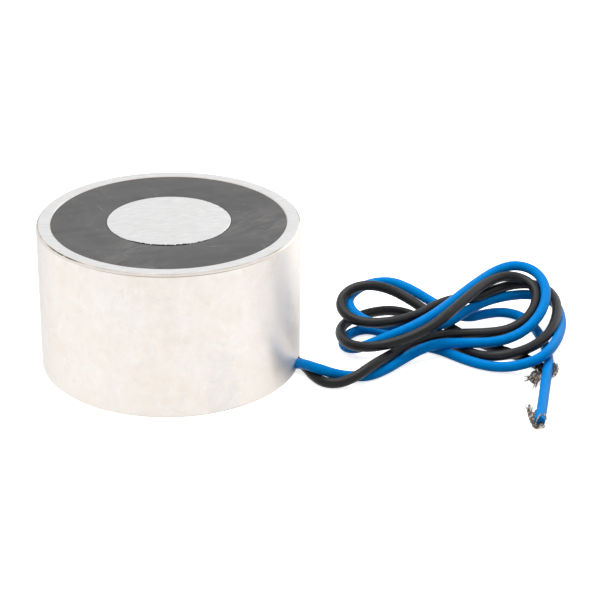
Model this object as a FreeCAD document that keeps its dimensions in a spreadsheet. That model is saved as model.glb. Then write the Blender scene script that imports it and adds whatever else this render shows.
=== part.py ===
import FreeCAD, Part
import Sketcher
import math
import os

# Electro-permanent holding magnet: a turned steel pot with a permanent magnet under its centre
# pole and a release coil round it, potted in black resin, with a blue and a black lead.
# The pot's axis is Z, its back lies on z = 0, the pole face looks up, the leads leave along +X.

SIZES = (
    # pot
    ("housing_diameter", 50.0),
    ("housing_height", 29.0),
    ("housing_wall", 2.75),
    ("base_thickness", 8.0),
    ("rim_chamfer", 0.4),
    ("bore_chamfer", 0.25),
    ("back_chamfer", 0.5),
    # threaded hole in the back, cut to the thread's core
    ("thread_core_diameter", 5.0),
    ("thread_depth", 5.5),
    ("thread_countersink", 0.6),
    ("drill_tip_height", 1.4),
    # centre pole and the magnet under it
    ("core_diameter", 23.4),
    ("core_chamfer", 0.2),
    ("magnet_height", 5.0),
    ("magnet_inset", 0.3),
    # coil on its bobbin
    ("bobbin_clearance", 0.2),
    ("bobbin_barrel", 0.9),
    ("bobbin_flange", 1.0),
    ("flange_clearance", 0.35),
    ("splice_space", 3.2),
    ("tape_thickness", 0.25),
    ("winding_margin", 0.7),
    ("potting_depth", 3.0),
    ("potting_recess", 0.25),
    # way of the leads through the base
    ("lead_diameter", 1.8),
    ("lead_pitch", 1.9),
    ("lead_height", 1.1),
    ("groove_width", 4.0),
    ("groove_height", 2.4),
    ("groove_corner", 1.2),
    ("lead_hole_diameter", 5.0),
    ("lead_hole_inset", 5.75),
    ("mouth_run", 3.3),
    ("seal_inset", 1.5),
    ("seal_recess", 0.2),
    # splices between the leads and the winding's own ends
    ("splice_diameter", 1.7),
    ("splice_length", 2.6),
    ("leadout_diameter", 0.6),
    ("notch_clearance", 0.4),
    # hank of both leads, laid flat before it is tilted, and their bare ends
    ("loop_band", 6.0),
    ("loop_height", 5.2),
    ("right_loop_x", 62.8),
    ("right_loop_y", 21.05),
    ("right_loop_depth", 32.0),
    ("right_loop_width", 25.2),
    ("left_loop_x", 39.5),
    ("left_loop_y", 16.2),
    ("left_loop_depth", 26.7),
    ("left_loop_width", 19.8),
    ("waist_x", 49.9),
    ("waist_y", 15.7),
    ("waist_length", 10.0),
    ("waist_depth", 14.0),
    ("waist_height", 7.2),
    ("hank_lift", -0.35),
    ("hank_tilt", 8.8),
    ("entry_neck_width", 5.2),
    ("entry_neck_length", 10.0),
    ("tail_neck_width", 2.4),
    ("blue_neck_length", 7.5),
    ("black_neck_length", 4.0),
    ("strand_bundle_diameter", 2.0),
    ("strand_bundle_length", 3.6),
)

doc = FreeCAD.newDocument("HoldingMagnet")
sheet = doc.addObject("Spreadsheet::Sheet", "Sizes")
for row, (alias, number) in enumerate(SIZES, start=1):
    sheet.set("A%d" % row, alias)
    sheet.set("B%d" % row, str(number))
    sheet.setAlias("B%d" % row, alias)
doc.recompute()


def size(alias):
    """A size from the sheet, as a plain number of millimetres."""
    return float(sheet.get(alias))


# Radii and heights that several pieces share, as expressions on the sheet.
OUTER = "(Sizes.housing_diameter / 2)"
BORE = "(Sizes.housing_diameter / 2 - Sizes.housing_wall)"
TOP = "Sizes.housing_height"
FLOOR = "Sizes.base_thickness"
CORE = "(Sizes.core_diameter / 2)"
BARREL_IN = "(Sizes.core_diameter / 2 + Sizes.bobbin_clearance)"
BARREL_OUT = "(Sizes.core_diameter / 2 + Sizes.bobbin_clearance + Sizes.bobbin_barrel)"
FLANGE = "(Sizes.housing_diameter / 2 - Sizes.housing_wall - Sizes.flange_clearance)"
COIL_OUT = "(%s - Sizes.winding_margin)" % FLANGE
POTTING_LOW = "(Sizes.housing_height - Sizes.potting_depth)"
FLANGE_LOW = "(Sizes.base_thickness + Sizes.splice_space)"
COIL_LOW = "(Sizes.base_thickness + Sizes.splice_space + Sizes.bobbin_flange)"
COIL_HIGH = "(Sizes.housing_height - Sizes.potting_depth - Sizes.bobbin_flange)"
HOLE_X = "(%s - Sizes.lead_hole_inset)" % BORE
SPLICE_HIGH = "(Sizes.base_thickness + Sizes.splice_length)"
# How far a cutting shape runs past the face that it opens, and a fused one into its neighbour.
OVERRUN = "1"
SINK = "0.1"


def hold(sketch, index, direction, expression):
    """Ties one coordinate of a line's start point to the sheet, or to the axis where it is zero."""
    if expression == "0":
        axis = -2 if direction == "DistanceX" else -1
        sketch.addConstraint(Sketcher.Constraint("PointOnObject", index, 1, axis))
        return
    number = sketch.addConstraint(Sketcher.Constraint(direction, -1, 1, index, 1, 1.0 + index))
    sketch.setExpression("Constraints[%d]" % number, expression)


def turned(name, profile):
    """A body turned about Z from a closed profile of (radius, height) expressions."""
    body = doc.addObject("PartDesign::Body", name)
    plane = [f for f in body.Origin.OriginFeatures if f.Role == "XZ_Plane"][0]
    sketch = body.newObject("Sketcher::SketchObject", name + "_profile")
    sketch.AttachmentSupport = (plane, [""])
    sketch.MapMode = "FlatFace"
    count = len(profile)
    for index in range(count):
        start = FreeCAD.Vector(1 + index, 1 + index, 0)
        end = FreeCAD.Vector(2 + index, 2 + index, 0)
        sketch.addGeometry(Part.LineSegment(start, end), False)
    for index in range(count):
        sketch.addConstraint(Sketcher.Constraint("Coincident", index, 2, (index + 1) % count, 1))
    for index, (radius, height) in enumerate(profile):
        hold(sketch, index, "DistanceX", radius)
        hold(sketch, index, "DistanceY", height)
    doc.recompute()
    turn = body.newObject("PartDesign::Revolution", name + "_turn")
    turn.Profile = sketch
    turn.ReferenceAxis = (sketch, ["V_Axis"])
    turn.Angle = 360.0
    return body


def primitive(kind, name, turn=None, **expressions):
    """A Part primitive with its sizes and place tied to the sheet."""
    thing = doc.addObject(kind, name)
    if turn is not None:
        thing.Placement = FreeCAD.Placement(FreeCAD.Vector(), turn)
    for key, expression in expressions.items():
        path = "Placement.Base." + key if key in ("x", "y", "z") else key
        thing.setExpression(path, expression)
    return thing


def cut(name, base, tool):
    thing = doc.addObject("Part::Cut", name)
    thing.Base, thing.Tool = base, tool
    return thing


def fuse(name, shapes):
    thing = doc.addObject("Part::MultiFuse", name)
    thing.Shapes = shapes
    return thing


ALONG_X = FreeCAD.Rotation(FreeCAD.Vector(0, 1, 0), 90)
ALONG_MINUS_Y = FreeCAD.Rotation(FreeCAD.Vector(1, 0, 0), 90)


# Way of the leads: a groove under the base with rounded top corners, and a hole up to the coil.
def lead_way():
    run = "%s + %s - %s" % (OUTER, OVERRUN, HOLE_X)
    half = "Sizes.groove_width / 2"
    mouth = primitive("Part::Box", "groove_mouth", Length=run, Width="Sizes.groove_width",
                      Height="Sizes.groove_height - Sizes.groove_corner + " + OVERRUN, x=HOLE_X,
                      y="-" + half, z="-" + OVERRUN)
    roof = primitive("Part::Box", "groove_roof", Length=run,
                     Width="Sizes.groove_width - 2 * Sizes.groove_corner",
                     Height="Sizes.groove_height", x=HOLE_X, y="Sizes.groove_corner - " + half)
    corners = [primitive("Part::Cylinder", "groove_corner_" + side, ALONG_X, Radius="Sizes.groove_corner",
                         Height=run, x=HOLE_X, y="%s(%s - Sizes.groove_corner)" % (sign, half),
                         z="Sizes.groove_height - Sizes.groove_corner")
               for side, sign in (("far", ""), ("near", "-"))]
    hole = primitive("Part::Cylinder", "lead_hole", Radius="Sizes.lead_hole_diameter / 2",
                     Height="Sizes.base_thickness + 2 * " + OVERRUN, x=HOLE_X, z="-" + OVERRUN)
    return fuse("lead_way", [mouth, roof, hole] + corners)


LEAD_WAY = lead_way()


def housing():
    thread = "Sizes.thread_core_diameter / 2"
    pot = turned("housing_pot", [
        ("0", "Sizes.thread_depth + Sizes.drill_tip_height"),
        (thread, "Sizes.thread_depth"),
        (thread, "Sizes.thread_countersink"),
        (thread + " + Sizes.thread_countersink", "0"),
        (OUTER + " - Sizes.back_chamfer", "0"),
        (OUTER, "Sizes.back_chamfer"),
        (OUTER, TOP + " - Sizes.rim_chamfer"),
        (OUTER + " - Sizes.rim_chamfer", TOP),
        (BORE + " + Sizes.bore_chamfer", TOP),
        (BORE, TOP + " - Sizes.bore_chamfer"),
        (BORE, FLOOR),
        ("0", FLOOR)])
    return cut("housing", pot, LEAD_WAY)


def pole_core():
    low = "Sizes.base_thickness + Sizes.magnet_height"
    return turned("pole_core", [
        ("0", low), (CORE, low), (CORE, TOP + " - Sizes.core_chamfer"),
        (CORE + " - Sizes.core_chamfer", TOP), ("0", TOP)])


def permanent_magnet():
    edge = CORE + " - Sizes.magnet_inset"
    high = "Sizes.base_thickness + Sizes.magnet_height"
    return turned("permanent_magnet", [("0", FLOOR), (edge, FLOOR), (edge, high), ("0", high)])


# The bobbin stands on the pot's floor on its barrel, which also centres the magnet and the pole.
def coil_bobbin():
    spool = turned("bobbin_spool", [
        (BARREL_IN, FLOOR), (BARREL_OUT, FLOOR), (BARREL_OUT, FLANGE_LOW), (FLANGE, FLANGE_LOW),
        (FLANGE, COIL_LOW), (BARREL_OUT, COIL_LOW), (BARREL_OUT, COIL_HIGH), (FLANGE, COIL_HIGH),
        (FLANGE, POTTING_LOW), (BARREL_IN, POTTING_LOW)])
    edge = "(Sizes.leadout_diameter / 2 + Sizes.notch_clearance)"
    notch = primitive("Part::Box", "flange_notch", Length="Sizes.housing_diameter / 2",
                      Width="Sizes.lead_pitch + 2 * " + edge, Height="Sizes.bobbin_flange + 2 * " + SINK,
                      x="%s - %s" % (HOLE_X, edge), y="-Sizes.lead_pitch / 2 - " + edge,
                      z="%s - %s" % (FLANGE_LOW, SINK))
    return cut("coil_bobbin", spool, notch)


# The winding is one wire: its two ends drop through the flange's notch to the splices.
def coil_winding():
    ring = turned("winding_ring", [
        (BARREL_OUT, COIL_LOW), (COIL_OUT, COIL_LOW), (COIL_OUT, COIL_HIGH), (BARREL_OUT, COIL_HIGH)])
    ends = [primitive("Part::Cylinder", "leadout_" + colour, Radius="Sizes.leadout_diameter / 2",
                      Height="%s - %s + %s" % (COIL_LOW, SPLICE_HIGH, SINK), x=HOLE_X,
                      y=sign + "Sizes.lead_pitch / 2", z=SPLICE_HIGH)
            for colour, sign in (("blue", ""), ("black", "-"))]
    return fuse("coil_winding", [ring] + ends)


def winding_tape():
    wrap = COIL_OUT + " + Sizes.tape_thickness"
    return turned("winding_tape", [
        (COIL_OUT, COIL_LOW), (wrap, COIL_LOW), (wrap, COIL_HIGH), (COIL_OUT, COIL_HIGH)])


def potting_ring():
    top = TOP + " - Sizes.potting_recess"
    return turned("potting_ring", [
        (CORE, POTTING_LOW), (BORE, POTTING_LOW), (BORE, top), (CORE, top)])


# Resin that fills the leads' way from just inside the pot's side up to the coil space, and holds their ends.
def lead_seal():
    back = "(%s - Sizes.lead_hole_diameter / 2)" % HOLE_X
    filled = primitive("Part::Box", "filled_way", Length="%s - Sizes.seal_inset - %s" % (OUTER, back),
                       Width="Sizes.lead_hole_diameter", Height="Sizes.base_thickness - Sizes.seal_recess",
                       x=back, y="-Sizes.lead_hole_diameter / 2", z="Sizes.seal_recess")
    seal = doc.addObject("Part::Common", "lead_seal")
    seal.Base, seal.Tool = LEAD_WAY, filled
    return seal


# Heat-shrink sleeve over the joint of a lead and one end of the winding, standing on the resin.
def splice(colour, sign):
    return primitive("Part::Cylinder", colour + "_splice", Radius="Sizes.splice_diameter / 2",
                     Height="Sizes.splice_length", x=HOLE_X, y=sign + "Sizes.lead_pitch / 2", z=FLOOR)


def cord_path(points):
    """Straight runs joined by tangent arcs, each as large as its two runs allow."""
    points = [FreeCAD.Vector(*p) for p in points]
    edges, start, radii = [], points[0], []
    for index in range(1, len(points) - 1):
        corner = points[index]
        back, ahead = points[index - 1] - corner, points[index + 1] - corner
        half = (math.pi - back.getAngle(ahead)) / 2
        radius = 0.45 * min(back.Length, ahead.Length) / math.tan(half)
        reach = radius * math.tan(half)
        first = corner + back.normalize() * reach
        last = corner + ahead.normalize() * reach
        middle = corner + (back + ahead).normalize() * radius * (1 / math.cos(half) - 1)
        edges.append(Part.LineSegment(start, first).toShape())
        edges.append(Part.Arc(first, middle, last).toShape())
        start = last
        radii.append(round(radius, 1))
    edges.append(Part.LineSegment(start, points[-1]).toShape())
    return Part.Wire(edges), radii


def tube(name, points, diameter):
    """A round cord swept along its route; the route's points are chosen, its section is on the sheet."""
    wire, radii = cord_path(points)
    route = doc.addObject("Part::Feature", name + "_route")
    route.Shape = wire
    ring = doc.addObject("Part::Circle", name + "_section")
    ring.setExpression("Radius", diameter + " / 2")
    first = wire.Edges[0]
    ring.Placement = FreeCAD.Placement(first.valueAt(first.FirstParameter), FreeCAD.Rotation(
        FreeCAD.Vector(0, 0, 1), first.tangentAt(first.FirstParameter)))
    sweep = doc.addObject("Part::Sweep", name)
    sweep.Sections = [ring]
    sweep.Spine = (route, ["Edge%d" % (k + 1) for k in range(len(wire.Edges))])
    sweep.Solid = True
    sweep.Frenet = False
    doc.recompute()
    whole = math.pi * ring.Radius.Value ** 2 * wire.Length
    print(name, "length", round(wire.Length, 1), "radii", radii, "volume / (section * length)",
          round(sweep.Shape.Volume / whole, 3))
    return sweep


def oval_block(name, x, y, depth, width, height):
    """An upright block round at both ends, its middle at (x, y) and its depth along Y."""
    radius = "(%s) / 2" % width
    reach = "((%s) - (%s)) / 2" % (depth, width)
    ends = [primitive("Part::Cylinder", name + "_" + side, Radius=radius, Height=height, x=x,
                      y="%s %s %s" % (y, sign, reach)) for side, sign in (("back", "+"), ("front", "-"))]
    middle = primitive("Part::Box", name + "_middle", Length=width, Width="2 * " + reach, Height=height,
                       x="%s - %s" % (x, radius), y="%s - %s" % (y, reach))
    return fuse(name, ends + [middle])


def loop(side):
    """One side of the hank: an oval ring."""
    x, y, depth, width = ["Sizes.%s_loop_%s" % (side, word) for word in ("x", "y", "depth", "width")]
    outer = oval_block(side + "_outside", x, y, depth, width, "Sizes.loop_height")
    inner = oval_block(side + "_inside", x, y, depth + " - 2 * Sizes.loop_band",
                       width + " - 2 * Sizes.loop_band", "Sizes.loop_height")
    return cut(side + "_loop", outer, inner)


# Where the leads go into the hank and come out of it, and which way.
ENTRY_FACE, ENTRY_DIRECTION = (44.16, 1.45, 2.75), (1, 1, 0)
BLUE_TAIL_FACE = (72.4, 6.0, 1.25)
BLACK_TAIL_FACE = (69.9, 6.5, 1.25)
INWARD = (0, 1, 0)


def neck(name, face, direction, length, width):
    """A short square stub of the hank with a flat end face, where a lead goes in or out."""
    across, along = "Sizes." + width, "Sizes." + length
    stub = primitive("Part::Box", name, Length=across, Width=along, Height=across)
    turn = FreeCAD.Rotation(FreeCAD.Vector(0, 1, 0), FreeCAD.Vector(*direction))
    half = size(width) / 2
    corner = FreeCAD.Vector(*face) + turn.multVec(FreeCAD.Vector(-half, 0, -half))
    stub.Placement = FreeCAD.Placement(corner, turn)
    return stub


# The hank lies as a figure of eight that rises towards its back.
def lead_hank():
    waist = primitive("Part::Box", "waist", Length="Sizes.waist_length", Width="Sizes.waist_depth",
                      Height="Sizes.waist_height", x="Sizes.waist_x - Sizes.waist_length / 2",
                      y="Sizes.waist_y - Sizes.waist_depth / 2")
    eight = fuse("figure_of_eight", [loop("right"), loop("left"), waist])
    eight.setExpression("Placement.Base.z", "Sizes.hank_lift")
    eight.setExpression("Placement.Rotation.Angle", "Sizes.hank_tilt")
    eight.setExpression("Placement.Rotation.Axis.x", "1")
    eight.setExpression("Placement.Rotation.Axis.z", "0")
    necks = [neck("entry_neck", ENTRY_FACE, ENTRY_DIRECTION, "entry_neck_length", "entry_neck_width"),
             neck("blue_neck", BLUE_TAIL_FACE, INWARD, "blue_neck_length", "tail_neck_width"),
             neck("black_neck", BLACK_TAIL_FACE, INWARD, "black_neck_length", "tail_neck_width")]
    return fuse("lead_hank", [eight] + necks)


def strand_bundle(name, face):
    """Bare strands that stand out of a lead's end, lying on the floor."""
    bundle = primitive("Part::Cylinder", name, ALONG_MINUS_Y, Radius="Sizes.strand_bundle_diameter / 2",
                       Height="Sizes.strand_bundle_length", z="Sizes.strand_bundle_diameter / 2")
    bundle.Placement.Base.x, bundle.Placement.Base.y = face[0], face[1]
    return bundle


# Both leads leave the resin side by side and run along the floor into the hank.
def lead_start(sign):
    face = size("housing_diameter") / 2 - size("seal_inset")
    mouth = size("housing_diameter") / 2 + size("mouth_run")
    side = sign * size("lead_pitch") / 2
    return [(face, side, size("lead_height")), (mouth, side, size("lead_height"))]


BLUE_RUN = [(36.48, -1.71, 0.95), (40.66, -0.71, 0.95), (43.49, 2.12, 0.95)]
BLACK_RUN = [(34.99, -4.46, 0.95), (41.58, -2.47, 0.95), (44.83, 0.78, 0.95)]
BLUE_TAIL = [(72.4, 6.0, 0.95), (72.4, -13.4, 0.95)]

NODES = {
    "housing": housing(),
    "pole_core": pole_core(),
    "permanent_magnet": permanent_magnet(),
    "coil_bobbin": coil_bobbin(),
    "coil_winding": coil_winding(),
    "winding_tape": winding_tape(),
    "potting_ring": potting_ring(),
    "lead_seal": lead_seal(),
    "blue_splice": splice("blue", ""),
    "black_splice": splice("black", "-"),
    "blue_lead": tube("blue_lead", lead_start(1) + BLUE_RUN, "Sizes.lead_diameter"),
    "black_lead": tube("black_lead", lead_start(-1) + BLACK_RUN, "Sizes.lead_diameter"),
    "lead_hank": lead_hank(),
    "blue_tail": tube("blue_tail", BLUE_TAIL, "Sizes.lead_diameter"),
    "blue_strands": strand_bundle("blue_strands", BLUE_TAIL[-1]),
    "black_strands": strand_bundle("black_strands", BLACK_TAIL_FACE),
}
doc.recompute()

for thing in doc.Objects:
    if "Invalid" in thing.State or "Error" in thing.State:
        raise RuntimeError("%s did not build: %s" % (thing.Name, thing.State))
for node, thing in NODES.items():
    thing.Label = node
    if thing.Shape.isNull() or not thing.Shape.isValid() or len(thing.Shape.Solids) != 1:
        raise RuntimeError("%s has no single valid solid" % node)

os.makedirs("parts", exist_ok=True)
for node, thing in NODES.items():
    thing.Shape.exportStep("parts/%s.step" % node)
    print(node, "volume", round(thing.Shape.Volume, 2), thing.Shape.BoundBox)
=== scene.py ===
import bpy
import bmesh
import math
import random
from mathutils import Matrix, Vector


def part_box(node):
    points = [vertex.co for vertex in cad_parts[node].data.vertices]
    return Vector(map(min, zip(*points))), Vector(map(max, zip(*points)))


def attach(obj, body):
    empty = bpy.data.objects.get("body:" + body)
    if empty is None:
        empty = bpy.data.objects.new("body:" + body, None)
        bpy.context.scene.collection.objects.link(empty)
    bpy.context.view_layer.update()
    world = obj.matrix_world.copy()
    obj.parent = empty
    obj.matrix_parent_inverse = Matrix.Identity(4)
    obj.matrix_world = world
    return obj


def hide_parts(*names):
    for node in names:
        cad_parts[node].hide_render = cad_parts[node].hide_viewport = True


# Electro-permanent holding magnet: a nickel-plated steel pot with a ground pole face, black potting
# between rim and centre pole, and a blue and a black silicone lead that lie beside it in a loose hank.
# Lengths are in millimetres from the pot's axis and back, and become metres in the part's frame.

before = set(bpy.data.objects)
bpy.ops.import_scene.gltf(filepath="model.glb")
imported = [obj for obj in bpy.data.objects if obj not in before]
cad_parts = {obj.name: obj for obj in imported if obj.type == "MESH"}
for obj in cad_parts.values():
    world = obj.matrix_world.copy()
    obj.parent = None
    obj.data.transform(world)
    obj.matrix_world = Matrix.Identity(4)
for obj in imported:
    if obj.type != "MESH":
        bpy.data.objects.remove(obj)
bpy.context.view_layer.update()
pot_low, pot_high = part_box("housing")
core_low, core_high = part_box("pole_core")
potting_low, potting_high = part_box("potting_ring")
random.seed(7)

# Sizes

MM = 0.001
AXIS = Vector(((pot_low[0] + pot_high[0]) / 2, (pot_low[1] + pot_high[1]) / 2, pot_low[2]))
POT_RADIUS = (pot_high[0] - pot_low[0]) / 2 / MM
POT_HEIGHT = (pot_high[2] - pot_low[2]) / MM
CORE_RADIUS = (core_high[0] - core_low[0]) / 2 / MM
CORE_LOW = (core_low[2] - pot_low[2]) / MM
BORE_RADIUS = (potting_high[0] - potting_low[0]) / 2 / MM
POTTING_LOW = (potting_low[2] - pot_low[2]) / MM
POT_FLOOR = 8.0
FOOT_CHAMFER, RIM_CHAMFER, BORE_CHAMFER, POLE_CHAMFER = 0.5, 0.4, 0.15, 0.12
FOOT_EASING, RIM_EASING, MOUTH_EASING, LIP_EASING, FINE_EASING = 0.2, 0.15, 0.1, 0.08, 0.05
POT_STEPS, POLE_STEPS, THREAD_STEPS = 192, 144, 36
# Edges that turn by more than this many degrees stay sharp.
CREASE, THREAD_CREASE = 32, 25
THREAD_OUTER, THREAD_CORE, THREAD_PITCH, THREAD_DEPTH = 2.95, 2.5, 1.0, 5.5
THREAD_START, THREAD_TURNS, DRILL_POINT = 0.35, 4.4, 1.4
MOUTH_WIDTH, MOUTH_DEPTH = 0.4, 0.45
# The potting lies a little below the rim, and sinks along bore and pole: how far in, and how deep.
POTTING_DROP = 0.06
BORE_SAG = [(0.0, 0.10), (0.10, 0.02), (0.35, 0.0)]
POLE_SAG = [(0.40, 0.0), (0.18, 0.04), (0.06, 0.16), (0.0, 0.20)]
LEAD_HOLE_X, LEAD_HOLE_RADIUS = POT_RADIUS - 8.5, 2.5
GROOVE_RUN, GROOVE_WIDTH, GROOVE_HEIGHT, GROOVE_CORNER = 12.0, 4.0, 2.4, 1.2
LEAD_DIAMETER, LEAD_EXIT_HEIGHT = 2.0, 1.2
STRAND_DIAMETER, STRAND_WANDER = 0.15, 0.22
# Each strand goes along the last stretch of its tuft by a share between these.
LEAST_REACH, MOST_REACH = 0.35, 1.25
# The routes' points are those of wire 1.8 mm thick, and this lifts the thicker wire off the ground.
LEAD_LIFT = 0.1
# Where marks of use, and the widest painted shade in the gap round the pole, lie round the axis, the leads'
# side being zero.
RIM_CHIPS, RIM_FRONT, GREY_BLOT = math.radians(-129), math.radians(-72), math.radians(-54)
JOINT_FRONT, JOINT_BACK = math.radians(-78), math.radians(52)
SMUDGE_FRONT, SMUDGE_RIGHT = math.radians(-100), math.radians(5)


def at(x, y, z):
    """A point in the part's frame, in metres, from millimetres off the pot's axis and back."""
    return AXIS + Vector((x, y, z)) * MM


# Nodes

def node(tree, kind, inputs=None, **settings):
    """A shader node; its inputs are numbers, colours or other nodes' sockets."""
    made = tree.nodes.new("ShaderNode" + kind)
    for key, value in settings.items():
        setattr(made, key, value)
    for key, value in (inputs or {}).items():
        fill(tree, made.inputs[key], value)
    return made


def fill(tree, socket, value):
    """A link into the socket, or its fixed value."""
    if isinstance(value, bpy.types.NodeSocket):
        tree.links.new(value, socket)
    else:
        socket.default_value = value


def maths(tree, operation, first, second=0.0):
    """A sum of one or two values."""
    return node(tree, "Math", {0: first, 1: second}, operation=operation).outputs[0]


def times(tree, first, *others):
    """The product of several values."""
    for other in others:
        first = maths(tree, "MULTIPLY", first, other)
    return first


def spread(tree, value, low, high, start=0.0, end=1.0):
    """The value stretched from low..high to start..end, with both ends held."""
    return node(tree, "MapRange", {0: value, 1: low, 2: high, 3: start, 4: end}).outputs[0]


def band(tree, value, middle, half):
    """One in the middle of a narrow band of values, falling to nothing at its edges."""
    inner = half * 0.35
    off = maths(tree, "ABSOLUTE", maths(tree, "SUBTRACT", value, middle))
    return spread(tree, off, inner, half, 1.0, 0.0)


def blend(tree, share, first, second):
    """A colour between two others."""
    made = node(tree, "Mix", data_type="RGBA")
    fill(tree, made.inputs[0], share)
    fill(tree, made.inputs[6], first)
    fill(tree, made.inputs[7], second)
    return made.outputs[2]


def layered(tree, tint, *coats):
    """A colour with others over it, each with its share."""
    for share, colour in coats:
        tint = blend(tree, share, tint, colour)
    return tint


def noise(tree, place, scale, detail=2.0, roughness=0.5, twist=0.0):
    """Cloudy values between nought and one, in as fine detail as asked for."""
    return node(tree, "TexNoise", {"Vector": place, "Scale": scale, "Detail": detail,
                                   "Roughness": roughness, "Distortion": twist}).outputs["Fac"]


def stretched(tree, place, x, y, z, turn=0.0):
    """A place turned about Z and then drawn out, for marks that run one way."""
    return node(tree, "Mapping", {"Vector": place, "Rotation": (0, 0, turn), "Scale": (1 / x, 1 / y, 1 / z)},
                vector_type="TEXTURE").outputs[0]


def about_axis(tree):
    """Object coordinates with the pot's axis and back as their origin."""
    place = node(tree, "TexCoord").outputs["Object"]
    return node(tree, "Mapping", {"Vector": place, "Location": -AXIS}).outputs[0]


def angle_round(tree, place):
    """The angle round the pot's axis."""
    parts = node(tree, "SeparateXYZ", {0: place}).outputs
    return maths(tree, "ARCTAN2", parts[1], parts[0])


def radius_from(tree, place):
    """The distance from the pot's axis."""
    flat = node(tree, "VectorMath", {0: place, 1: (1, 1, 0)}, operation="MULTIPLY").outputs[0]
    return node(tree, "VectorMath", {0: flat}, operation="LENGTH").outputs["Value"]


def height_over(tree, place):
    """The height over the pot's back."""
    return node(tree, "SeparateXYZ", {0: place}).outputs[2]


def new_group(name, numbers, results):
    """A node group with a place, some numbers and named results."""
    group = bpy.data.node_groups.new(name, "ShaderNodeTree")
    group.interface.new_socket("Place", in_out="INPUT", socket_type="NodeSocketVector")
    for label, value in numbers:
        socket = group.interface.new_socket(label, in_out="INPUT", socket_type="NodeSocketFloat")
        socket.default_value = value
    for label in results:
        group.interface.new_socket(label, in_out="OUTPUT", socket_type="NodeSocketFloat")
    return group, group.nodes.new("NodeGroupInput"), group.nodes.new("NodeGroupOutput")


def cloudy_group():
    """Soft patches with a finer mottle in them, as on plated or wiped surfaces."""
    group, given, result = new_group("cloudy patches", (("Size", 100.0),), ("Patches", "Mottle"))
    place, scale = given.outputs["Place"], given.outputs["Size"]
    broad = noise(group, place, scale, 6.0, 0.62, 0.8)
    fine = noise(group, place, times(group, scale, 5.5), 4.0, 0.6, 0.3)
    group.links.new(spread(group, broad, 0.42, 0.66), result.inputs["Patches"])
    group.links.new(fine, result.inputs["Mottle"])
    return group


def scratch_group():
    """Thin scratches that run in three directions and break off."""
    group, given, result = new_group("fine scratches", (("Spacing", 1.0),), ("Scratches",))
    place = node(group, "VectorMath", {0: given.outputs["Place"]}, operation="SCALE")
    group.links.new(given.outputs["Spacing"], place.inputs["Scale"])
    marks = []
    for turn, push in ((0.35, 0.0), (-0.9, 0.013), (-0.5, 0.027)):
        moved = node(group, "VectorMath", {0: place.outputs[0], 1: (push, -push, push)}).outputs[0]
        line = noise(group, stretched(group, moved, 90, 2200, 400, turn), 1.0, 1.0, 0.4)
        gaps = noise(group, place.outputs[0], 260.0 + 4000 * push, 2.0)
        marks.append(times(group, spread(group, line, 0.70, 0.78), spread(group, gaps, 0.5, 0.62)))
    either = maths(group, "MAXIMUM", maths(group, "MAXIMUM", marks[0], marks[1]), marks[2])
    group.links.new(either, result.inputs["Scratches"])
    return group


def speck_group():
    """Scattered dots of grit or dust."""
    group, given, result = new_group("specks", (("Size", 900.0), ("Share", 0.1)), ("Specks",))
    cells = node(group, "TexVoronoi", {"Vector": given.outputs["Place"], "Scale": given.outputs["Size"]})
    dot = spread(group, cells.outputs["Distance"], 0.16, 0.30, 1.0, 0.0)
    picked = node(group, "SeparateColor", {0: cells.outputs["Color"]}).outputs[0]
    chosen = maths(group, "LESS_THAN", picked, given.outputs["Share"])
    group.links.new(times(group, dot, chosen), result.inputs["Specks"])
    return group


CLOUDY, SCRATCHES, SPECKS = cloudy_group(), scratch_group(), speck_group()


def placed(tree, group, place, **numbers):
    """A node group at a place, with its numbers."""
    made = tree.nodes.new("ShaderNodeGroup")
    made.node_tree = group
    tree.links.new(place, made.inputs["Place"])
    for label, value in numbers.items():
        made.inputs[label].default_value = value
    return made.outputs


def new_material(name, **constants):
    """A material with its shader, and the values that are the same all over it."""
    material = bpy.data.materials.new(name)
    material.use_nodes = True
    tree = material.node_tree
    shader = tree.nodes["Principled BSDF"]
    for key, value in constants.items():
        shader.inputs[key.replace("_", " ")].default_value = value
    return material, tree, shader


def surface(tree, shader, tint, rough):
    """The colour and roughness of a finish."""
    tree.links.new(tint, shader.inputs["Base Color"])
    tree.links.new(rough, shader.inputs["Roughness"])


def bump(tree, shader, height, strength, distance):
    """Fine relief of a finish, its distance in millimetres."""
    made = node(tree, "Bump", {"Height": height, "Strength": strength, "Distance": distance * MM})
    tree.links.new(made.outputs[0], shader.inputs["Normal"])


# Finishes

def rim_wear(tree, place):
    """Masks of the rim's outer edge: thin worn lines along its corners, and chips down to the steel."""
    angle, height = angle_round(tree, place), height_over(tree, place)
    near_wall = (POT_RADIUS - 1) * MM
    outside = maths(tree, "GREATER_THAN", radius_from(tree, place), near_wall)
    upper_corner, lower_corner = (POT_HEIGHT - 0.07) * MM, (POT_HEIGHT - 0.44) * MM
    chip_height = (POT_HEIGHT - 0.09) * MM
    facing = band(tree, angle, RIM_FRONT, 0.8)
    broken = spread(tree, noise(tree, place, 150.0, 4.0, 0.65), 0.36, 0.60)
    upper = times(tree, band(tree, height, upper_corner, 0.11 * MM), broken,
                  spread(tree, facing, 0.0, 1.0, 1.0, 0.45))
    lower = times(tree, band(tree, height, lower_corner, 0.12 * MM),
                  spread(tree, facing, 0.0, 1.0, 0.25, 1.0))
    worn = times(tree, maths(tree, "MAXIMUM", upper, lower), outside)
    nicked = spread(tree, noise(tree, place, 420.0, 3.0, 0.6), 0.40, 0.48)
    chipped = times(tree, band(tree, angle, RIM_CHIPS, 0.27), band(tree, height, chip_height, 0.10 * MM),
                    nicked, outside)
    return worn, chipped


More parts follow.
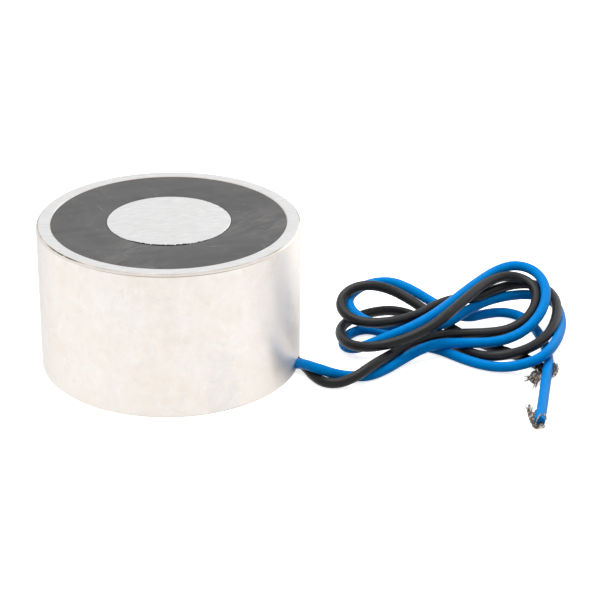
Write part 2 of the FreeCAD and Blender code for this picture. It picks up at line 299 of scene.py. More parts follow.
def grey_blot(tree, place):
    """A dull grey smear that runs down the wall, ragged at its edges."""
    inside = times(tree, band(tree, angle_round(tree, place), GREY_BLOT, 0.22),
                   band(tree, height_over(tree, place), 6 * MM, 14 * MM))
    torn = spread(tree, noise(tree, place, 230.0, 7.0, 0.75, 1.6), 0.34, 0.62)
    return spread(tree, maths(tree, "ADD", inside, torn), 1.1, 1.7, 0.0, 0.65)


def nickel_plate():
    """Satin nickel on a turned wall: warm, cloudy and flecked, worn brown along the rim, with brown painted
    shade along the foot.
    """
    material, tree, shader = new_material("nickel plate", Metallic=1.0, Specular_Tint=(0.70, 0.71, 0.73, 1),
                                          Anisotropic=0.85, Anisotropic_Rotation=0.25)
    round_axis = node(tree, "Tangent", direction_type="RADIAL", axis="Z")
    tree.links.new(round_axis.outputs[0], shader.inputs["Tangent"])
    place = about_axis(tree)
    cloud = placed(tree, CLOUDY, place, Size=110.0)
    scratch = placed(tree, SCRATCHES, place, Spacing=1.2)
    speck = placed(tree, SPECKS, place, Size=1700.0, Share=0.07)
    flecks = spread(tree, noise(tree, place, 330.0, 6.0, 0.72, 0.9), 0.52, 0.66, 0.0, 0.75)
    smears = spread(tree, noise(tree, place, 240.0, 6.0, 0.72, 1.5), 0.56, 0.68, 0.0, 0.5)
    worn, chipped = rim_wear(tree, place)
    # Brown painted shade on the foot chamfer, strongest in the lowest part of the wall.
    foot_shade = spread(tree, height_over(tree, place), 0.15 * MM, 0.55 * MM, 0.42, 0.0)
    clean, tarnished = (0.885, 0.842, 0.798, 1), (0.876, 0.808, 0.742, 1)
    pale, warm, dull_grey = (0.902, 0.878, 0.854, 1), (0.822, 0.762, 0.708, 1), (0.775, 0.757, 0.745, 1)
    dirt, scored = (0.42, 0.34, 0.27, 1), (0.56, 0.51, 0.46, 1)
    rim_brown, foot_shade_brown, bare_steel = (0.42, 0.31, 0.24, 1), (0.46, 0.36, 0.29, 1), (0.095, 0.072, 0.056, 1)
    tint = layered(tree, clean, (cloud["Patches"], tarnished), (flecks, pale), (smears, warm),
                   (grey_blot(tree, place), dull_grey), (times(tree, speck["Specks"], 0.14), dirt),
                   (times(tree, scratch["Scratches"], 0.16), scored), (times(tree, worn, 0.75), rim_brown),
                   (chipped, bare_steel), (foot_shade, foot_shade_brown))
    surface(tree, shader, tint, spread(tree, cloud["Mottle"], 0.3, 0.7, 0.44, 0.52))
    lathe = noise(tree, stretched(tree, place, 30, 30, 2600), 1.0, 2.0)
    bump(tree, shader, maths(tree, "ADD", times(tree, lathe, 0.25), cloud["Mottle"]), 0.10, 0.04)
    return material


def pole_joint_shade(tree, place):
    """The dark gap between pole and potting, its black painted shade: ragged, and open on two stretches."""
    angle = angle_round(tree, place)
    gape = maths(tree, "MAXIMUM", band(tree, angle, JOINT_FRONT, 0.75), band(tree, angle, JOINT_BACK, 0.5))
    torn = spread(tree, noise(tree, place, 1500.0, 3.0, 0.6), 0.30, 0.66)
    width = times(tree, torn, spread(tree, gape, 0.0, 1.0, 0.06 * MM, 0.27 * MM))
    off = maths(tree, "ABSOLUTE", maths(tree, "SUBTRACT", radius_from(tree, place), CORE_RADIUS * MM))
    return spread(tree, maths(tree, "SUBTRACT", off, width), -0.05 * MM, 0.02 * MM, 1.0, 0.0)


def ground_steel():
    """Pole face ground flat: light grey with short grinding lines, stains and a few scratches."""
    material, tree, shader = new_material("ground steel", Metallic=1.0)
    place = about_axis(tree)
    lines = noise(tree, stretched(tree, place, 420, 2200, 900, 0.45), 1.0, 3.0, 0.6)
    grain = noise(tree, place, 3200.0, 2.0)
    cloud = placed(tree, CLOUDY, place, Size=260.0)
    scratch = placed(tree, SCRATCHES, place, Spacing=0.9)
    deep, bright, grainy = (0.715, 0.715, 0.715, 1), (0.89, 0.89, 0.886, 1), (0.805, 0.805, 0.801, 1)
    # The near-black at the edge of the pole is painted shade in the gap round it.
    stained, scored, crack_shade = (0.68, 0.674, 0.664, 1), (0.95, 0.95, 0.95, 1), (0.012, 0.011, 0.010, 1)
    tint = layered(tree, deep, (spread(tree, lines, 0.3, 0.7), bright),
                   (spread(tree, grain, 0.35, 0.75, 0.0, 0.5), grainy),
                   (times(tree, cloud["Patches"], 0.25), stained),
                   (times(tree, scratch["Scratches"], 0.4), scored), (pole_joint_shade(tree, place), crack_shade))
    surface(tree, shader, tint, spread(tree, lines, 0.3, 0.7, 0.36, 0.48))
    bump(tree, shader, maths(tree, "ADD", lines, times(tree, grain, 0.5)), 0.25, 0.03)
    return material


def turned_back():
    """Back of the pot, faced on a lathe: fine rings round the axis under the plating."""
    material, tree, shader = new_material("turned back", Metallic=1.0)
    place = about_axis(tree)
    rings = node(tree, "CombineXYZ", {0: times(tree, radius_from(tree, place), 2400.0)})
    line = noise(tree, rings.outputs[0], 1.0, 2.0)
    cloud = placed(tree, CLOUDY, place, Size=120.0)
    dull, bright, tarnished = (0.74, 0.72, 0.69, 1), (0.88, 0.86, 0.83, 1), (0.70, 0.65, 0.60, 1)
    tint = layered(tree, dull, (line, bright), (times(tree, cloud["Patches"], 0.4), tarnished))
    surface(tree, shader, tint, spread(tree, line, 0.3, 0.7, 0.28, 0.42))
    bump(tree, shader, line, 0.35, 0.05)
    return material


def smudges(tree, place):
    """Pale smudges where a hand or cloth rubbed the resin, on two stretches of the ring."""
    angle = angle_round(tree, place)
    where = maths(tree, "MAXIMUM", band(tree, angle, SMUDGE_FRONT, 0.5), band(tree, angle, SMUDGE_RIGHT, 0.6))
    wisps = noise(tree, stretched(tree, place, 130, 420, 200, 0.9), 1.0, 5.0, 0.7, 0.5)
    return times(tree, where, spread(tree, wisps, 0.44, 0.66), 0.7)


def potting_resin():
    """Black potting ground flush: smudged and scratched, with a ragged black joint round the pole in painted
    shade.
    """
    material, tree, shader = new_material("potting resin", Metallic=0.0, Specular_IOR_Level=0.35)
    place = about_axis(tree)
    cloud = placed(tree, CLOUDY, place, Size=120.0)
    scratch = placed(tree, SCRATCHES, place, Spacing=1.0)
    speck = placed(tree, SPECKS, place, Size=900.0, Share=0.03)
    wiped = noise(tree, stretched(tree, place, 55, 420, 200, 0.5), 1.0, 5.0, 0.65)
    dark, grey, clouded = (0.056, 0.055, 0.055, 1), (0.092, 0.090, 0.090, 1), (0.114, 0.111, 0.110, 1)
    smudged, scored = (0.142, 0.138, 0.135, 1), (0.30, 0.295, 0.29, 1)
    # The near-black next to the pole is painted shade in the gap between pole and potting.
    grit, crack_shade = (0.22, 0.21, 0.205, 1), (0.006, 0.006, 0.006, 1)
    tint = layered(tree, dark, (spread(tree, wiped, 0.35, 0.7), grey),
                   (times(tree, cloud["Patches"], 0.45), clouded), (smudges(tree, place), smudged),
                   (times(tree, scratch["Scratches"], 0.35), scored),
                   (times(tree, speck["Specks"], 0.2), grit), (pole_joint_shade(tree, place), crack_shade))
    surface(tree, shader, tint, spread(tree, wiped, 0.3, 0.7, 0.52, 0.66))
    bump(tree, shader, maths(tree, "ADD", wiped, scratch["Scratches"]), 0.15, 0.04)
    return material


def silicone(name, deep, pale, dust, gloss, sheen):
    """Silicone insulation: a soft, slightly uneven sheen and a little dust."""
    material, tree, shader = new_material(name, Metallic=0.0, Specular_IOR_Level=gloss, Specular_Tint=sheen)
    place = node(tree, "TexCoord").outputs["Object"]
    cloud = placed(tree, CLOUDY, place, Size=160.0)
    speck = placed(tree, SPECKS, place, Size=1100.0, Share=0.05)
    tint = layered(tree, deep, (spread(tree, cloud["Mottle"], 0.3, 0.7), pale),
                   (times(tree, speck["Specks"], 0.25), dust))
    surface(tree, shader, tint, spread(tree, cloud["Mottle"], 0.3, 0.7, 0.34, 0.48))
    bump(tree, shader, cloud["Mottle"], 0.25, 0.04)
    return material


def tinned_copper():
    """Bare strands: tin over copper, dull grey with brown where the tin has worn, and patches of painted
    shade for the dark between them.
    """
    material, tree, shader = new_material("tinned copper", Metallic=1.0)
    place = node(tree, "TexCoord").outputs["Object"]
    worn = spread(tree, noise(tree, place, 1400.0, 3.0, 0.6), 0.45, 0.62)
    # Patches of painted shade along the strands, for the shadow between them.
    dark = spread(tree, noise(tree, place, 2000.0, 2.0, 0.6), 0.44, 0.56)
    tin, copper, shade = (0.66, 0.63, 0.58, 1), (0.36, 0.28, 0.21, 1), (0.045, 0.040, 0.036, 1)
    tint = layered(tree, tin, (worn, copper), (times(tree, dark, 0.9), shade))
    surface(tree, shader, tint, spread(tree, dark, 0.0, 1.0, 0.32, 0.5))
    return material


def sealed_finish(name, first, second, size, metallic, rough):
    """Plain worked finish for the pieces inside the pot."""
    material, tree, shader = new_material(name, Metallic=metallic)
    cloud = placed(tree, CLOUDY, about_axis(tree), Size=size)
    tint = blend(tree, cloud["Mottle"], first, second)
    surface(tree, shader, tint, spread(tree, cloud["Patches"], 0.0, 1.0, rough, rough + 0.12))
    bump(tree, shader, cloud["Mottle"], 0.1, 0.04)
    return material


# Each piece inside: its finish's name, two colours, the size of its mottle, its metal share and roughness.
SEALED = {
    "permanent_magnet": (
        "bright magnet plate", (0.62, 0.61, 0.58, 1), (0.74, 0.73, 0.70, 1), 220.0, 1.0, 0.22),
    "coil_bobbin": (
        "natural nylon", (0.66, 0.63, 0.53, 1), (0.74, 0.71, 0.62, 1), 160.0, 0.0, 0.45),
    "coil_winding": (
        "enamelled copper", (0.36, 0.12, 0.04, 1), (0.52, 0.20, 0.07, 1), 900.0, 1.0, 0.28),
    "winding_tape": (
        "film tape", (0.50, 0.30, 0.04, 1), (0.62, 0.40, 0.07, 1), 180.0, 0.0, 0.30),
    "lead_seal": (
        "poured resin", (0.012, 0.012, 0.012, 1), (0.030, 0.029, 0.029, 1), 240.0, 0.0, 0.38),
    "blue_splice": (
        "blue heat shrink", (0.010, 0.06, 0.24, 1), (0.015, 0.09, 0.30, 1), 300.0, 0.0, 0.42),
    "black_splice": (
        "black heat shrink", (0.012, 0.012, 0.013, 1), (0.022, 0.022, 0.023, 1), 300.0, 0.0, 0.42)}

NICKEL, GROUND, TURNED, RESIN = nickel_plate(), ground_steel(), turned_back(), potting_resin()
BLUE = silicone("blue silicone", deep=(0.0, 0.202, 0.61, 1), pale=(0.0, 0.238, 0.68, 1),
                dust=(0.008, 0.25, 0.60, 1), gloss=0.08, sheen=(0.0, 0.35, 1, 1))
BLACK = silicone("black silicone", deep=(0.003, 0.003, 0.004, 1), pale=(0.007, 0.007, 0.008, 1),
                 dust=(0.08, 0.08, 0.08, 1), gloss=0.26, sheen=(1, 1, 1, 1))
STRAND = tinned_copper()


# Turned pieces

def linked(name, data):
    """A new object in the scene."""
    thing = bpy.data.objects.new(name, data)
    bpy.context.collection.objects.link(thing)
    return thing


def solid(name, shape):
    """A new object from a bmesh, which is used up."""
    mesh = bpy.data.meshes.new(name)
    shape.to_mesh(mesh)
    shape.free()
    return linked(name, mesh)


def as_mesh(thing):
    """A mesh of the object as its modifiers or its thickness make it."""
    bpy.context.view_layer.update()
    return bpy.data.meshes.new_from_object(thing.evaluated_get(bpy.context.evaluated_depsgraph_get()))


def settle(thing, nodes):
    """The piece rides on the part in place of its solids."""
    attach(thing, "root")
    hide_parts(*nodes)


def shaded(mesh, crease):
    """Smooth shading up to edges sharper than the crease, in degrees."""
    mesh.shade_smooth()
    mesh.set_sharp_from_angle(angle=math.radians(crease))


def finished(name, shape, material, nodes, crease=CREASE):
    """A piece of one finish from a bmesh."""
    thing = solid(name, shape)
    thing.data.materials.append(material)
    settle(thing, nodes)
    shaded(thing.data, crease)


def spun(profile, steps):
    """A closed profile of (radius, height) turned about the pot's axis."""
    shape = bmesh.new()
    corners = [shape.verts.new(at(radius, 0, height)) for radius, height in profile]
    edges = [shape.edges.new((corners[k], corners[(k + 1) % len(corners)])) for k in range(len(corners))
             if profile[k][0] > 0 or profile[(k + 1) % len(corners)][0] > 0]
    bmesh.ops.spin(shape, geom=corners + edges, cent=AXIS, axis=(0, 0, 1), angle=math.tau, steps=steps,
                   use_merge=True)
    bmesh.ops.remove_doubles(shape, verts=shape.verts, dist=1e-7)
    bmesh.ops.recalc_face_normals(shape, faces=shape.faces)
    return shape


def eased(corner, before, after, size, parts=3):
    """A corner of a profile rounded by a few points between its two sides."""
    start = corner + (before - corner).normalized() * size
    end = corner + (after - corner).normalized() * size
    return [start.lerp(corner, t).lerp(corner.lerp(end, t), t) for t in [k / parts for k in range(parts + 1)]]


def eased_profile(corners):
    """Profile corners (radius, height, easing) to points, each easing rounded."""
    spots = [Vector((radius, height)) for radius, height, _ in corners]
    points = []
    for k, (_, _, size) in enumerate(corners):
        if size:
            points += eased(spots[k], spots[k - 1], spots[(k + 1) % len(spots)], size)
        else:
            points.append(spots[k])
    return [(p.x, p.y) for p in points]


def lead_groove():
    """The groove under the base, round at its top corners, as a tool to cut the pot with."""
    shape = bmesh.new()
    below = 1.0
    made = bmesh.ops.create_cube(shape, size=1.0)
    size = Vector((GROOVE_RUN, GROOVE_WIDTH, GROOVE_HEIGHT + below)) * MM
    middle = at(LEAD_HOLE_X + GROOVE_RUN / 2, 0, (GROOVE_HEIGHT - below) / 2)
    bmesh.ops.scale(shape, vec=size, verts=made["verts"])
    bmesh.ops.translate(shape, vec=middle, verts=made["verts"])
    roof = [edge for edge in shape.edges if all(v.co.z > AXIS.z for v in edge.verts)
            and abs(edge.verts[0].co.x - edge.verts[1].co.x) > GROOVE_RUN * MM / 2]
    bmesh.ops.bevel(shape, geom=roof, offset=GROOVE_CORNER * MM, affect="EDGES", segments=8, profile=0.5,
                    material=-1)
    return solid("lead groove", shape)


def lead_hole():
    """The hole from the groove up to the coil, as a tool to cut the pot with."""
    shape = bmesh.new()
    past_each_end = 1.0
    bmesh.ops.create_cone(shape, cap_ends=True, segments=48, radius1=LEAD_HOLE_RADIUS * MM,
                          radius2=LEAD_HOLE_RADIUS * MM, depth=(POT_FLOOR + 2 * past_each_end) * MM)
    bmesh.ops.translate(shape, vec=at(LEAD_HOLE_X, 0, POT_FLOOR / 2), verts=shape.verts)
    return solid("lead hole", shape)


def carved(thing, tools):
    """The piece's mesh with the tools cut out of it; the tools are used up."""
    for tool in tools:
        cut = thing.modifiers.new(tool.name, "BOOLEAN")
        cut.object, cut.operation, cut.solver = tool, "DIFFERENCE", "EXACT"
    mesh = as_mesh(thing)
    thing.modifiers.clear()
    for tool in tools:
        bpy.data.objects.remove(tool)
    return mesh


def pot():
    """The pot: plated wall, ground rim, and a turned back with its hole, carved for the leads."""
    top, hole_reach, near, flat = POT_HEIGHT, 4.0, 0.1, 0.95
    thing = solid("pot", spun(eased_profile([
        (0.0, THREAD_DEPTH + DRILL_POINT, 0), (THREAD_OUTER, THREAD_DEPTH, 0),
        (THREAD_OUTER, MOUTH_DEPTH, 0), (THREAD_OUTER + MOUTH_WIDTH, 0.0, MOUTH_EASING),
        (POT_RADIUS - FOOT_CHAMFER, 0.0, FOOT_EASING), (POT_RADIUS, FOOT_CHAMFER, FOOT_EASING),
        (POT_RADIUS, top - RIM_CHAMFER, RIM_EASING), (POT_RADIUS - RIM_CHAMFER, top, RIM_EASING),
        (BORE_RADIUS + BORE_CHAMFER, top, LIP_EASING), (BORE_RADIUS, top - BORE_CHAMFER, FINE_EASING),
        (BORE_RADIUS, POT_FLOOR, 0), (0.0, POT_FLOOR, 0)]), POT_STEPS))
    thing.data = carved(thing, [lead_groove(), lead_hole()])
    for material in (NICKEL, GROUND, TURNED):
        thing.data.materials.append(material)
    for face in thing.data.polygons:
        height = (face.center.z - AXIS.z) / MM
        reach = (Vector(face.center[:2]) - Vector(AXIS[:2])).length / MM
        on_back = face.normal.z < -flat and height < near
        in_hole = reach < hole_reach and height < POT_FLOOR - near
        if face.normal.z > flat and height > top - near:
            face.material_index = 1
        elif on_back or in_hole:
            face.material_index = 2
    shaded(thing.data, CREASE)
    settle(thing, ["housing"])


def back_thread():
    """The ridge of the thread in the back, one tooth wound up the hole."""
    shape = bmesh.new()
    into_wall, off_core, flank, land = 0.06, 0.02, 0.40, 0.12
    root, crest = THREAD_OUTER + into_wall, THREAD_CORE + off_core
    tooth = [(root, 0.0), (crest, flank), (crest, flank + land), (root, flank + land + flank)]
    corners = [shape.verts.new(at(radius, 0, THREAD_START + height)) for radius, height in tooth]
    face = shape.faces.new(corners)
    bmesh.ops.spin(shape, geom=[face], cent=AXIS, axis=(0, 0, 1), angle=math.tau * THREAD_TURNS,
                   steps=int(THREAD_STEPS * THREAD_TURNS), dvec=(0, 0, THREAD_PITCH * MM / THREAD_STEPS))
    bmesh.ops.recalc_face_normals(shape, faces=shape.faces)
    finished("back_thread", shape, TURNED, [], THREAD_CREASE)


def pole():
    """The centre pole, ground flush with the rim."""
    top = POT_HEIGHT
    shape = spun(eased_profile([
        (0.0, CORE_LOW, 0), (CORE_RADIUS, CORE_LOW, 0), (CORE_RADIUS, top - POLE_CHAMFER, FINE_EASING),
        (CORE_RADIUS - POLE_CHAMFER, top, FINE_EASING), (0.0, top, 0)]), POLE_STEPS)
    finished("pole", shape, GROUND, ["pole_core"])


def potting():
    """The potting ring, a hair below the rim and sunk along the bore and the pole."""
    top = POT_HEIGHT - POTTING_DROP
    profile = [(CORE_RADIUS, POTTING_LOW), (BORE_RADIUS, POTTING_LOW)]
    profile += [(BORE_RADIUS - off, top - drop) for off, drop in BORE_SAG]
    profile += [(CORE_RADIUS + off, top - drop) for off, drop in POLE_SAG]
    finished("potting", spun(profile, POT_STEPS), RESIN, ["potting_ring"])


# Leads

BLUE_ROUTE = [
    (23.5, -0.98, 1.28), (24.7, -0.98, 1.40), (25.8, -1.75, 1.95), (27.3, -3.3, 2.6), (28.9, -4.65, 2.9),
    (30.6, -5.05, 2.75), (32.3, -4.6, 2.0), (34.2, -3.6, 1.2), (36.5, -3.1, 0.95), (39.4, -2.4, 0.95),
    (42.3, 1.4, 0.95), (45.0, 5.5, 1.4), (48.1, 7.7, 2.7), (51.3, 10.3, 2.9), (55.9, 11.3, 2.9),
    (60.5, 12.2, 2.9), (64.2, 13.9, 3.2), (67.3, 16.3, 4.2), (69.5, 20.1, 5.4), (70.7, 25.3, 6.7),
    (70.1, 31.1, 8.0), (67.5, 35.0, 9.1), (63.5, 35.9, 9.5), (60.1, 33.1, 9.3), (57.1, 28.6, 8.7),
    (54.2, 23.1, 8.1), (51.6, 17.9, 7.5), (48.8, 13.1, 6.9), (45.4, 9.5, 6.0), (41.7, 8.1, 4.6),
    (38.3, 7.3, 3.1), (35.3, 6.9, 1.7), (32.6, 8.5, 1.1), (31.9, 12.2, 0.95), (33.3, 15.9, 0.95),
    (35.9, 17.8, 0.95), (39.1, 16.9, 0.95), (42.6, 14.2, 0.95), (47.2, 12.4, 0.95), (51.2, 11.4, 0.95),
    (55.5, 8.5, 0.95), (59.5, 6.5, 0.95), (63.5, 5.7, 1.1), (67.4, 5.8, 1.9), (71.1, 7.0, 3.2),
    (73.4, 13.0, 3.4), (74.3, 22.4, 2.9), (73.4, 29.3, 3.0), (71.9, 33.5, 3.05), (68.9, 35.4, 3.2),
    (65.6, 34.4, 3.7), (61.8, 30.7, 4.5), (58.3, 26.7, 4.9), (55.3, 21.8, 4.9), (52.4, 17.0, 4.4),
    (48.8, 14.8, 3.9), (43.9, 14.0, 3.8), (38.9, 13.9, 3.9), (35.2, 14.9, 4.3), (32.5, 17.3, 5.1),
    (31.4, 20.4, 6.0), (32.9, 24.5, 6.6), (35.9, 27.6, 6.8), (39.5, 28.5, 6.8), (43.6, 26.7, 6.2),
    (47.5, 24.8, 5.0), (51.5, 22.5, 3.9), (55.3, 23.0, 2.7), (58.6, 27.1, 2.0), (61.6, 29.7, 1.5),
    (64.8, 29.8, 1.15), (67.3, 27.6, 1.0), (69.3, 23.8, 0.95), (71.5, 17.2, 0.95), (72.6, 9.7, 1.2),
    (72.5, 3.5, 1.2), (72.5, -3.8, 0.95), (72.5, -9.8, 0.95), (72.4, -14.2, 0.95)]
BLACK_ROUTE = [
    (23.5, 0.98, 0.95), (24.8, 0.95, 0.95), (26.3, -0.5, 0.95), (27.5, -2.3, 0.95), (28.8, -4.4, 0.95),
    (31.2, -6.8, 0.95), (34.2, -6.6, 1.0), (37.3, -5.3, 2.2), (39.8, -1.8, 3.05), (42.5, 3.9, 2.7),
    (45.5, 9.4, 2.7), (50.3, 13.7, 2.9), (54.7, 14.9, 3.1), (59.6, 15.6, 3.3), (63.9, 16.9, 3.7),
    (67.2, 20.0, 4.7), (68.8, 25.3, 5.9), (68.3, 30.2, 7.2), (65.5, 32.6, 8.1), (61.8, 31.8, 8.8),
    (58.4, 26.8, 9.1), (55.7, 20.0, 9.0), (53.0, 13.5, 8.5), (50.0, 8.2, 7.5), (46.0, 5.0, 6.2),
    (41.9, 3.7, 4.9), (37.8, 3.6, 3.9), (33.9, 5.6, 3.1), (31.4, 10.2, 2.8), (31.2, 15.1, 2.7),
    (33.4, 19.1, 2.7), (36.6, 22.3, 2.7), (40.2, 24.2, 2.5), (44.2, 24.9, 1.5), (48.2, 21.9, 0.95),
    (52.0, 15.6, 0.95), (55.3, 12.3, 1.0), (59.3, 8.9, 1.5), (63.6, 7.3, 2.8), (67.7, 9.9, 3.0),
    (71.0, 14.4, 3.4), (72.8, 19.8, 4.2), (73.1, 27.1, 5.0), (71.3, 33.3, 5.3), (67.6, 35.6, 5.7),
    (63.5, 33.9, 6.0), (59.9, 29.0, 6.6), (56.3, 24.1, 6.5), (52.6, 23.8, 6.4), (49.4, 20.1, 6.5),
    (46.2, 15.6, 6.0), (42.4, 12.5, 5.8), (38.0, 10.5, 5.8), (33.7, 11.4, 5.7), (30.7, 15.1, 6.2),
    (30.5, 19.0, 7.1), (32.5, 21.1, 8.3), (35.8, 22.1, 8.7), (39.6, 23.1, 7.6), (43.3, 22.2, 6.3),
    (46.9, 20.9, 4.8), (50.8, 18.9, 3.2), (54.8, 17.6, 1.6), (59.4, 15.2, 0.95), (64.2, 12.9, 0.95),
    (67.7, 10.9, 0.95), (69.8, 9.3, 0.95), (70.9, 7.9, 0.95)]

# Each tuft: the way it lies, how many strands it has, and how far they stand apart at its root and tip.
BLUE_TUFTS = [
    ([(72.5, -14.0, 0.95), (72.6, -15.2, 0.8), (72.2, -15.8, 0.6), (71.4, -14.8, 0.6), (70.9, -12.6, 0.7),
      (70.6, -10.4, 0.8)], 26, 0.42, 0.34),
    ([(72.2, -14.6, 0.7), (71.6, -15.2, 0.6), (70.9, -13.5, 0.7), (70.4, -10.8, 0.9), (70.0, -8.2, 1.2)],
     18, 0.22, 0.50),
    ([(71.6, -13.5, 0.6), (71.2, -11.6, 0.8), (71.5, -10.2, 1.3), (71.9, -10.9, 1.5)], 8, 0.25, 0.25),
    ([(72.4, -14.0, 0.95), (72.6, -15.1, 0.6), (73.0, -15.0, 0.4), (73.3, -14.4, 0.35)], 12, 0.40, 0.30),
    ([(72.0, -14.8, 0.5), (71.7, -15.4, 0.9), (71.9, -14.6, 2.1), (72.6, -13.5, 2.45), (73.4, -13.0, 2.1),
      (73.7, -13.3, 0.9)], 2, 0.03, 0.05)]
BLACK_TUFTS = [
    ([(70.7, 7.4, 0.95), (71.0, 5.6, 0.75), (70.7, 4.3, 0.7), (69.9, 3.7, 0.75), (68.9, 3.2, 0.6)],
     26, 0.45, 0.45),
    ([(70.7, 6.2, 0.8), (70.0, 5.2, 1.3), (69.6, 3.9, 1.2), (69.8, 2.5, 0.7), (70.5, 1.9, 0.6),
      (71.0, 2.8, 0.9), (70.6, 4.2, 1.4)], 30, 0.40, 0.50),
    ([(70.7, 7.4, 0.9), (71.6, 5.8, 0.45), (72.8, 4.8, 0.40), (73.8, 5.4, 0.65), (74.1, 7.0, 1.0),
      (73.6, 8.6, 1.1)], 40, 0.40, 0.45),
    ([(72.4, 5.2, 0.5), (73.5, 4.4, 0.6), (74.2, 5.6, 1.1), (74.1, 7.4, 1.5), (73.5, 8.7, 1.5)],
     18, 0.35, 0.40),
    ([(70.8, 6.2, 0.8), (71.1, 4.1, 0.5), (70.8, 2.2, 0.4), (70.4, 0.0, 0.3)], 6, 0.35, 0.50)]


def round_curve(name, diameter, finer_along, finer_round):
    """An empty curve that becomes round wire."""
    curve = bpy.data.curves.new(name, "CURVE")
    curve.dimensions = "3D"
    curve.resolution_u = finer_along
    curve.bevel_depth = diameter / 2 * MM
    curve.bevel_resolution = finer_round
    curve.use_fill_caps = True
    return curve


def smooth_line(curve, route):
    """One open line of the curve with the route's points as its control points."""
    line = curve.splines.new("NURBS")
    line.points.add(len(route) - 1)
    for point, spot in zip(line.points, route):
        point.co = (*at(*spot), 1.0)
    line.order_u = 3
    line.use_endpoint_u = True
    line.use_smooth = True


def lead(name, route, material, nodes, bare_end):
    """A lead along its route, in one smooth line. Its bare strands, bare_end, are not used."""
    curve = round_curve(name, LEAD_DIAMETER, finer_along=10, finer_round=8)
    smooth_line(curve, [(x, y, z + LEAD_LIFT) for x, y, z in route])
    thing = linked(name, curve)
    curve.materials.append(material)
    settle(thing, nodes)
    return thing


def strand(way, root, tip):
    """One strand of a tuft: beside the tuft's way, wandering more towards its tip, and long or short."""
    flatness, slant = 0.6, 1.3
    turn, off = random.uniform(0, math.tau), math.sqrt(random.random())
    side = Vector((math.cos(turn), math.sin(turn), flatness * math.sin(turn + slant))) * off
    reach = random.uniform(LEAST_REACH, MOST_REACH)
    points = []
    for k, spot in enumerate(way):
        share = k / (len(way) - 1)
        apart = root + (tip - root) * share
        wander = Vector([random.gauss(0, STRAND_WANDER * share) for _ in range(3)])
        place = Vector(spot) + side * apart + wander
        if k == len(way) - 1:
            place = Vector(points[-1]).lerp(place, reach)
        place.z = max(place.z, STRAND_DIAMETER / 2)
        points.append(tuple(place))
    return points


def strands(name, tufts, nodes):
    """Frayed bare strands at a lead's end, tuft by tuft."""
    curve = round_curve(name, STRAND_DIAMETER, finer_along=3, finer_round=1)
    for way, count, root, tip in tufts:
        for _ in range(count):
            smooth_line(curve, strand(way, root, tip))
    wires = linked(name, curve)
    mesh = as_mesh(wires)
    bpy.data.objects.remove(wires)
    thing = linked(name, mesh)
    mesh.materials.clear()
    mesh.materials.append(STRAND)
    mesh.shade_smooth()
    settle(thing, nodes)
    return thing


for sealed_piece, finish in SEALED.items():
    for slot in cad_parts[sealed_piece].material_slots:
        slot.material = sealed_finish(*finish)
blue_lead = lead("blue_silicone_lead", BLUE_ROUTE, BLUE,
                 ["blue_lead", "blue_tail", "lead_hank"],
                 strands("blue_bare_strands", BLUE_TUFTS, ["blue_strands"]))
black_lead = lead("black_silicone_lead", BLACK_ROUTE, BLACK,
                  ["black_lead", "lead_hank"],
                  strands("black_bare_strands", BLACK_TUFTS, ["black_strands"]))
pot()
back_thread()
pole()
potting()


# Stage

# Each light: its name, its place, its width and height in metres, and its power.
LIGHTS = [
    ("softbox above", (-40, 20, 420), 0.45, 0.45, 2.0),
    ("softbox left", (-380, -220, 320), 0.45, 0.45, 0.02),
    ("softbox right", (420, -160, 300), 0.4, 0.4, 0.08),
    ("panel behind", (287, 410, 160), 0.5, 0.26, 0.42)]
SHEEN_LIGHT = ("sheen light", (-40, 60, 400), 0.4, 0.4, 1.8)
LIT_PLACE, SHEEN_PLACE = (25, 5, 10), (50, 10, 5)
# The floor reaches this far each way, in metres.
FLOOR_REACH = 3.0
CAMERA_PLACE, CAMERA_AIM = (83.04, -333.07, 174.46), (23.55, 9.87, 9.92)
CAMERA_LENS, CAMERA_TILT = 118.18, math.radians(0.645)


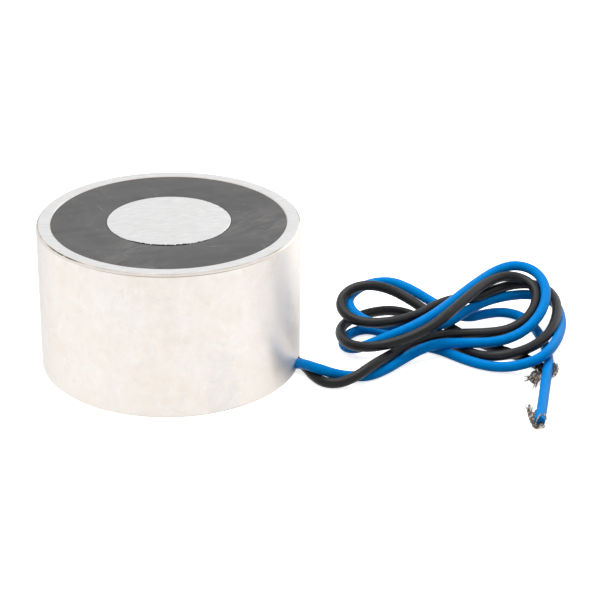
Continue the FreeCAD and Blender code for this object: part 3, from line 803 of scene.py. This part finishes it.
def white_floor():
    """A white floor, paler to the eye and in mirrors than in the light that it throws back."""
    ground = bmesh.new()
    bmesh.ops.create_grid(ground, x_segments=1, y_segments=1, size=FLOOR_REACH)
    floor = solid("floor", ground)
    material, tree, shader = new_material("white floor", Roughness=0.7, Emission_Color=(1, 1, 1, 1))
    path = node(tree, "LightPath").outputs
    seen, mirrored = times(tree, path["Is Camera Ray"], 0.75), times(tree, path["Is Glossy Ray"], 0.93)
    tree.links.new(maths(tree, "ADD", seen, mirrored), shader.inputs["Emission Strength"])
    cloud = noise(tree, node(tree, "TexCoord").outputs["Object"], 3.0, 2.0)
    bounced = maths(tree, "ADD", path["Is Diffuse Ray"], path["Is Glossy Ray"])
    white, whiter, grey = (0.93, 0.93, 0.93, 1), (0.95, 0.95, 0.95, 1), (0.3, 0.3, 0.3, 1)
    tint = layered(tree, white, (cloud, whiter), (bounced, grey))
    tree.links.new(tint, shader.inputs["Base Color"])
    floor.data.materials.append(material)


def white_room():
    """Even white light from all round, weaker on matt surfaces than in mirrors."""
    world = bpy.data.worlds.new("white room")
    world.use_nodes = True
    room = world.node_tree
    backdrop = room.nodes["Background"].inputs
    backdrop["Color"].default_value = (1, 1, 1, 1)
    matt = node(room, "LightPath").outputs["Is Diffuse Ray"]
    room.links.new(spread(room, matt, 0.0, 1.0, 1.0, 0.4), backdrop["Strength"])
    bpy.context.scene.world = world


def aim(thing, place, target):
    """The way a lamp or camera at its place turns towards its target."""
    thing.location = at(*place)
    return (at(*target) - thing.location).to_track_quat("-Z", "Y")


def light(name, place, width, height, power, target):
    """A soft rectangular light."""
    lamp = bpy.data.lights.new(name, "AREA")
    lamp.shape, lamp.energy, lamp.size, lamp.size_y = "RECTANGLE", power, width, height
    thing = linked(name, lamp)
    thing.rotation_euler = aim(thing, place, target).to_euler()
    return thing


def lights():
    """The studio's lights, and one more that gives only the leads their sheen."""
    for setting in LIGHTS:
        lamp = light(*setting, LIT_PLACE)
        lamp.visible_glossy = lamp.name != "softbox above"
    leads = bpy.data.collections.new("leads in the sheen light")
    leads.objects.link(blue_lead)
    leads.objects.link(black_lead)
    sheen = light(*SHEEN_LIGHT, SHEEN_PLACE)
    sheen.visible_diffuse = False
    sheen.light_linking.receiver_collection = leads


def camera():
    """The camera, turned a little about its own axis."""
    view = bpy.data.cameras.new("camera")
    view.lens, view.sensor_width, view.clip_start = CAMERA_LENS, 36.0, 0.01
    thing = linked("camera", view)
    level = aim(thing, CAMERA_PLACE, CAMERA_AIM)
    thing.rotation_euler = (level.to_matrix() @ Matrix.Rotation(CAMERA_TILT, 3, "Z")).to_euler()
    bpy.context.scene.camera = thing
    bpy.context.scene.view_settings.view_transform = "Standard"


white_floor()
white_room()
lights()
camera()
